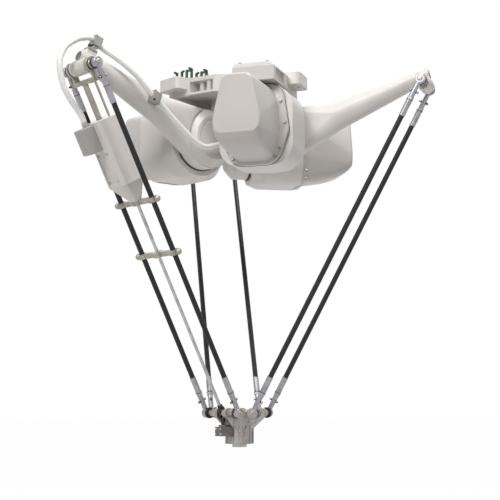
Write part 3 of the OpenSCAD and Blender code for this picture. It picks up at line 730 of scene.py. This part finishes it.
left_arm, left_rods = upper_frame("left"), rod_frame("left")
wrist = arm_frame("left") @ Matrix.Translation((0, 0, joint_place("platform_pivot").z))
screw_set("clip_screws", 0.0030, 0.0034, "upper_arm_left", DARK_STEEL, [
    (left_arm, (0.419, 0.002, 0.0912), "z"), (left_arm, (0.432, 0.014, 0.0912), "z"),
    (left_arm, (0.222, 0.0305, 0.0228), "z"), (left_arm, (0.236, 0.0435, 0.0228), "z"),
    (left_arm, (0.236, 0.0478, -0.002), "y"),
])
screw_set("clip_knob", 0.0052, 0.0090, "upper_arm_left", DARK_STEEL, [
    (left_arm, (0.4355, 0.008, 0.0605), "x"),
])
screw_set("panel_screws", 0.0022, 0.0018, "forearm_left", SCREW, [
    (left_rods, (0.0429, y, z), "x") for y in (-0.020, 0.020) for z in (-0.2265, -0.3005)
])
screw_set("gear_case_screws", 0.0030, 0.0026, "platform", STEEL, [
    (wrist, (0.0749, t, z), "x") for t in (-0.010, 0.010) for z in (-0.056, -0.043)
])

# %% [markdown]
# The tip of each upper arm is closed by a dark plug: a low disc with a bevelled rim and a shallow
# round recess.

# %% Plugs in the arms' tips
TIP_Z = 0.0235
PLUG_RADIUS = 0.0122
PLUG_DEPTH = 0.0016
TIP_END = ARM_LEN + 0.019
deselect()
bpy.ops.mesh.primitive_cylinder_add(vertices=40, radius=PLUG_RADIUS, depth=PLUG_DEPTH)
plug = bpy.context.object
facing(plug, (0, 0, 1))
bpy.ops.mesh.inset(thickness=0.0022, depth=0)
bpy.ops.mesh.inset(thickness=0.0006, depth=-0.0007)
bpy.ops.object.mode_set(mode="OBJECT")
rim = plug.modifiers.new("rim", "BEVEL")
rim.width = 0.0004
rim.segments = 2
bpy.ops.object.modifier_apply(modifier=rim.name)
bpy.ops.object.shade_smooth_by_angle(angle=math.radians(35))
for side in SIDES:
    made = copies(plug, "tip_plug_" + side, [
        upper_frame(side) @ Matrix.Translation((TIP_END, 0, TIP_Z)) @ turn_to("x")])
    coat_with(made, CASE)
    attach(made, "upper_arm_" + side)
bpy.data.objects.remove(plug)

# %% [markdown]
# A rod end is two pieces screwed together, and a thin dark ring shows where they meet.

# %% Seam rings on the rod ends
SEAM_AT = 0.0634
SEAM_RADIUS = 0.0086
SEAM_THICKNESS = 0.0009


def circle(radius, count=64):
    return [Vector((radius * math.cos(a), radius * math.sin(a), 0))
            for a in (2 * math.pi * i / count for i in range(count))]


seam = tube("seam", circle(SEAM_RADIUS, 32), SEAM_THICKNESS, sides=2, closed=True)
for side in SIDES:
    rods = rod_frame(side)
    rings = copies(seam, "rod_seams_" + side, [
        rods @ Matrix.Translation((0, end * ROD_HALF, z))
        for end in (1, -1) for z in (-SEAM_AT, SEAM_AT - ROD_LEN)])
    coat_with(rings, RUBBER)
    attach(rings, "forearm_" + side)
bpy.data.objects.remove(seam)

# %% [markdown]
# A black lip seal closes the gap between each hub and its drive's housing, and a thin dark
# gasket lies between each motor cover and its housing. Both are thin tubes on a closed path.
# The gasket's path is the outline round three pairs of circles, which shape the cover's flange.

# %% Seals and gaskets
# Half the distance between a pair of circles, their height and their radius
FLANGE = ((0.042, 0.072, 0.040), (0.044, -0.008, 0.050), (0.030, -0.054, 0.048))
GASKET_T = -0.1862
SEAL_T = -0.0430
SEAL_RADIUS = 0.0822
SEAL_THICKNESS = 0.0026
GASKET_THICKNESS = 0.0010


def turns_left(a, b, c):
    return (b[0] - a[0]) * (c[1] - a[1]) - (b[1] - a[1]) * (c[0] - a[0]) > 0


def outline(points):
    """The convex outline of points in a plane, anticlockwise."""
    points = sorted(points)
    ring = []
    for run in (points, points[::-1]):
        start = len(ring)
        for point in run:
            while len(ring) - start >= 2 and not turns_left(ring[-2], ring[-1], point):
                ring.pop()
            ring.append(point)
        ring.pop()
    return ring


corners = [(hand * x + p.x, z + p.y)
           for x, z, r in FLANGE for hand in (1, -1) for p in circle(r)]
for side in SIDES:
    place = shoulder_frame(side)
    path = [place @ Vector((x, GASKET_T, z)) for x, z in outline(corners)]
    gasket = tube("cover_gasket_" + side, path, GASKET_THICKNESS, sides=2, closed=True)
    coat_with(gasket, RUBBER)
    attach(gasket, "base")
    path = [place @ Vector((p.x, SEAL_T, p.y)) for p in circle(SEAL_RADIUS, 120)]
    seal = tube("lip_seal_" + side, path, SEAL_THICKNESS, sides=3, closed=True)
    coat_with(seal, RUBBER)
    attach(seal, "base")
